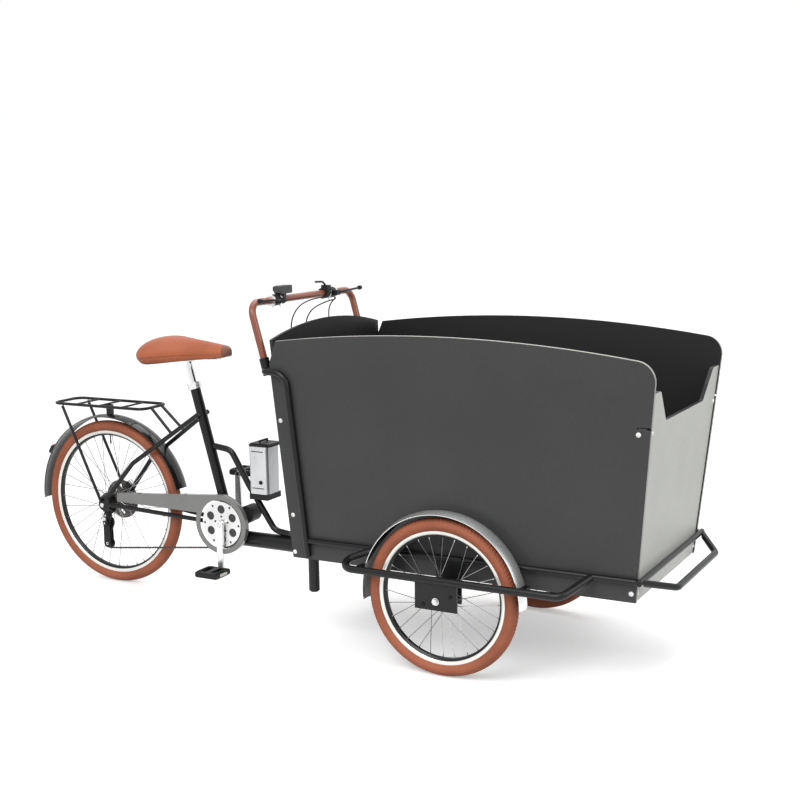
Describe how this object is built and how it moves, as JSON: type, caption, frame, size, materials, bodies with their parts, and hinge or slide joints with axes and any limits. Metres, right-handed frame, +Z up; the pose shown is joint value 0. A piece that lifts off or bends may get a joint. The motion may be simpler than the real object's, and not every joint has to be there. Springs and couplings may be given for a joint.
{
  "type": "electric cargo tricycle",
  "caption": "Electric cargo tricycle: an open plywood load box steers on two front wheels, pushed by a rear frame with saddle, rack, battery, motor and chain drive.",
  "frame": {"origin": "on the floor, below the middle of the whole machine's outline", "axes": "+X points forward, the way it rides; +Y to the rider's left; +Z up"},
  "size_m": [2.7479, 0.935, 1.2295],
  "materials": {
    "tyre_brown": "brown rubber, fine block tread",
    "rim_black": "black rim with bright braking edge",
    "spoke_steel": "plain stainless steel",
    "frame_black": "satin black powder coat",
    "fender_silver": "satin silver paint",
    "chrome": "polished",
    "saddle_leather": "brown leatherette with stitched edge",
    "bar_brown": "brown gloss paint",
    "battery_silver": "brushed, silver",
    "plastic_black": "black moulded",
    "guard_grey": "grey moulded",
    "chain_steel": "oiled steel",
    "alloy_silver": "polished alloy",
    "panel_charcoal": "charcoal coated plywood with pale cut edge",
    "panel_grey": "light grey coated plywood"
  },
  "bodies": {
    "rear_frame": {"dropouts": "frame_black", "chain_stays": "frame_black", "seat_stays": "frame_black", "seat_tube": "frame_black", "crank_cradle": "frame_black", "main_beam": "frame_black", "frame_brace": "frame_black", "motor": "plastic_black", "seat_post": "chrome", "seat_clamp": "frame_black", "saddle_frame": "chrome", "saddle": "saddle_leather", "rear_fender": "frame_black", "rear_rack": "frame_black", "rack_struts": "frame_black", "rear_lamp": "plastic_black", "battery": "battery_silver", "battery_holder": "plastic_black", "chain_guard": "guard_grey", "chain": "chain_steel", "derailleur": "plastic_black", "rear_axle": "spoke_steel"},
    "rear_wheel": {"rear_tyre": "tyre_brown", "rear_rim": "rim_black", "rear_hub": "spoke_steel", "cassette": "chain_steel", "rear_brake_disc": "chain_steel"},
    "crank": {"chainwheel": "alloy_silver", "cranks": "alloy_silver"},
    "right_pedal": {"pedal_right": "plastic_black"},
    "left_pedal": {"pedal_left": "plastic_black"},
    "front_box": {"side_panel_left": "panel_charcoal", "side_panel_right": "panel_charcoal", "front_panel": "panel_grey", "rear_panel": "panel_charcoal", "box_floor": "panel_charcoal", "base_ring": "frame_black", "cross_frame": "frame_black", "kingpin": "frame_black", "side_rails": "frame_black", "axle_plates": "frame_black", "front_axles": "spoke_steel", "front_fenders": "fender_silver", "fender_brackets": "frame_black", "corner_hoops": "frame_black", "stand_legs": "frame_black", "bumper": "frame_black", "handlebar": "bar_brown", "brake_levers": "alloy_silver", "display": "plastic_black", "shifter": "plastic_black", "control_cables": "plastic_black", "cable_guide": "plastic_black"},
    "front_wheel_left": {"front_tyre_left": "tyre_brown", "front_rim_left": "rim_black", "front_hub_left": "spoke_steel"},
    "front_wheel_right": {"front_tyre_right": "tyre_brown", "front_rim_right": "rim_black", "front_hub_right": "spoke_steel"}
  },
  "joints": [
    {"name": "steering", "type": "hinge", "parent": "rear_frame", "child": "front_box", "pos_m": [0.365, 0, 0.248], "axis": [0, 0, 1], "range_deg": [-35, 35]},
    {"name": "rear_wheel_spin", "type": "hinge", "parent": "rear_frame", "child": "rear_wheel", "pos_m": [-1.015, 0, 0.333], "axis": [0, 1, 0], "continuous": true},
    {"name": "front_wheel_left_spin", "type": "hinge", "parent": "front_box", "child": "front_wheel_left", "pos_m": [0.655, 0.4016, 0.262], "axis": [0, 1, 0], "continuous": true},
    {"name": "front_wheel_right_spin", "type": "hinge", "parent": "front_box", "child": "front_wheel_right", "pos_m": [0.655, -0.4016, 0.262], "axis": [0, 1, 0], "continuous": true},
    {"name": "crank_spin", "type": "hinge", "parent": "rear_frame", "child": "crank", "pos_m": [-0.45, 0, 0.308], "axis": [0, 1, 0], "continuous": true},
    {"name": "right_pedal_spin", "type": "hinge", "parent": "crank", "child": "right_pedal", "pos_m": [-0.45, -0.068, 0.133], "axis": [0, 1, 0], "continuous": true},
    {"name": "left_pedal_spin", "type": "hinge", "parent": "crank", "child": "left_pedal", "pos_m": [-0.45, 0.068, 0.483], "axis": [0, 1, 0], "continuous": true}
  ],
  "couplings": [
    {"joint": "right_pedal_spin", "follows": "crank_spin", "ratio": -1},
    {"joint": "left_pedal_spin", "follows": "crank_spin", "ratio": -1}
  ]
}
